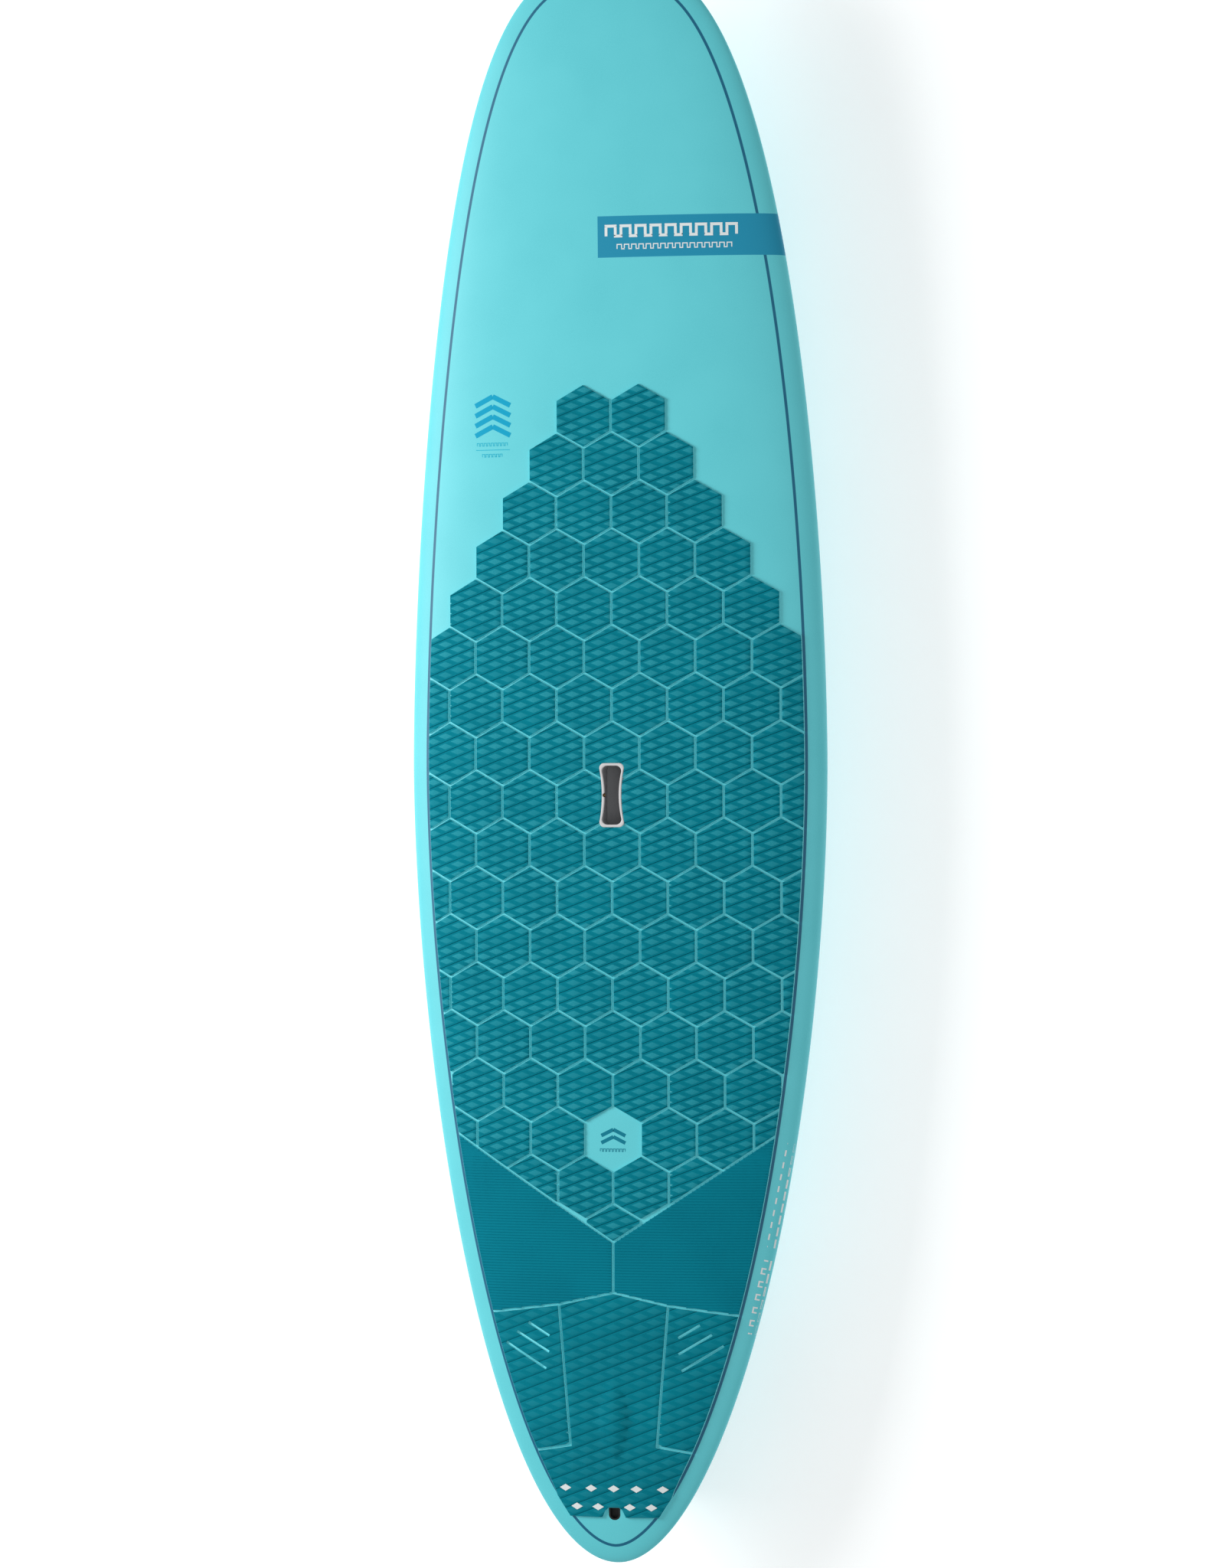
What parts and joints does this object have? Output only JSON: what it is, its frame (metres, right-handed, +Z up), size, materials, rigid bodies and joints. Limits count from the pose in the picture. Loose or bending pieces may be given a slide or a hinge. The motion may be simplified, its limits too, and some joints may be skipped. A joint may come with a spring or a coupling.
{
  "type": "stand up paddleboard",
  "caption": "Hard composite stand up paddleboard with hexagon tile deck pad, tail pad, recessed carry handle, vent, leash plug and three fins, the centre one sliding in its box.",
  "frame": {"origin": "on the ground under the middle of the board, level with the tip of the centre fin", "axes": "+Y to the nose, +Z up out of the deck, +X to the right when facing the nose"},
  "size_m": [0.762, 2.87, 0.2723],
  "materials": {
    "paint_aqua": "satin sprayed and sanded paint over epoxy laminate",
    "eva_teal": "closed cell EVA foam, matt, moulded pattern",
    "stringer_wood": "sawn",
    "eps_foam": "moulded bead foam",
    "hard_foam": "machined",
    "rim_white": "moulded",
    "well_grey": "moulded",
    "vent_brass": "turned",
    "membrane_white": "pressed",
    "seal_rubber": "moulded",
    "fitting_black": "moulded",
    "screw_steel": "turned",
    "fin_black": "moulded",
    "diamond_white": "inlaid EVA"
  },
  "bodies": {
    "board": {"bottom_skin": "paint_aqua", "centre_fin_box": "fitting_black", "deck_pad_row_01": "eva_teal", "deck_pad_row_02": "eva_teal", "deck_pad_row_03": "eva_teal", "deck_pad_row_04": "eva_teal", "deck_pad_row_05": "eva_teal", "deck_pad_row_06": "eva_teal", "deck_pad_row_07": "eva_teal", "deck_pad_row_08": "eva_teal", "deck_pad_row_09": "eva_teal", "deck_pad_row_10": "eva_teal", "deck_pad_row_11": "eva_teal", "deck_pad_row_12": "eva_teal", "deck_pad_row_13": "eva_teal", "deck_pad_row_14": "eva_teal", "deck_pad_row_15": "eva_teal", "deck_pad_row_16": "eva_teal", "deck_pad_row_17": "eva_teal", "deck_pad_row_18": "eva_teal", "deck_skin": "paint_aqua", "fin_box_foam_block": "hard_foam", "foam_core_left": "eps_foam", "foam_core_right": "eps_foam", "handle_foam_block": "hard_foam", "handle_rim": "rim_white", "handle_well": "well_grey", "leash_foam_block": "hard_foam", "leash_plug_cup": "fitting_black", "leash_plug_pin": "screw_steel", "nose_block": "paint_aqua", "ribbed_panel_left": "eva_teal", "ribbed_panel_right": "eva_teal", "side_box_foam_blocks": "hard_foam", "side_fin_box_left": "fitting_black", "side_fin_box_right": "fitting_black", "side_fin_grub_screws": "screw_steel", "side_fin_left": "fin_black", "side_fin_right": "fin_black", "stringer": "stringer_wood", "tail_arch_bar": "eva_teal", "tail_block": "paint_aqua", "tail_diamonds": "diamond_white", "tail_pad_left": "eva_teal", "tail_pad_middle": "eva_teal", "tail_pad_right": "eva_teal", "vent_body": "vent_brass", "vent_membrane": "membrane_white", "vent_ring": "seal_rubber"},
    "fin": {"centre_fin": "fin_black", "fin_screw": "screw_steel", "fin_plate_nut": "screw_steel", "fin_cross_pin": "vent_brass"}
  },
  "joints": [
    {"name": "centre_fin_slide", "type": "slide", "parent": "board", "child": "fin", "axis": [0, 0.9951, -0.0984], "range_m": [-0.03, 0.03]}
  ]
}
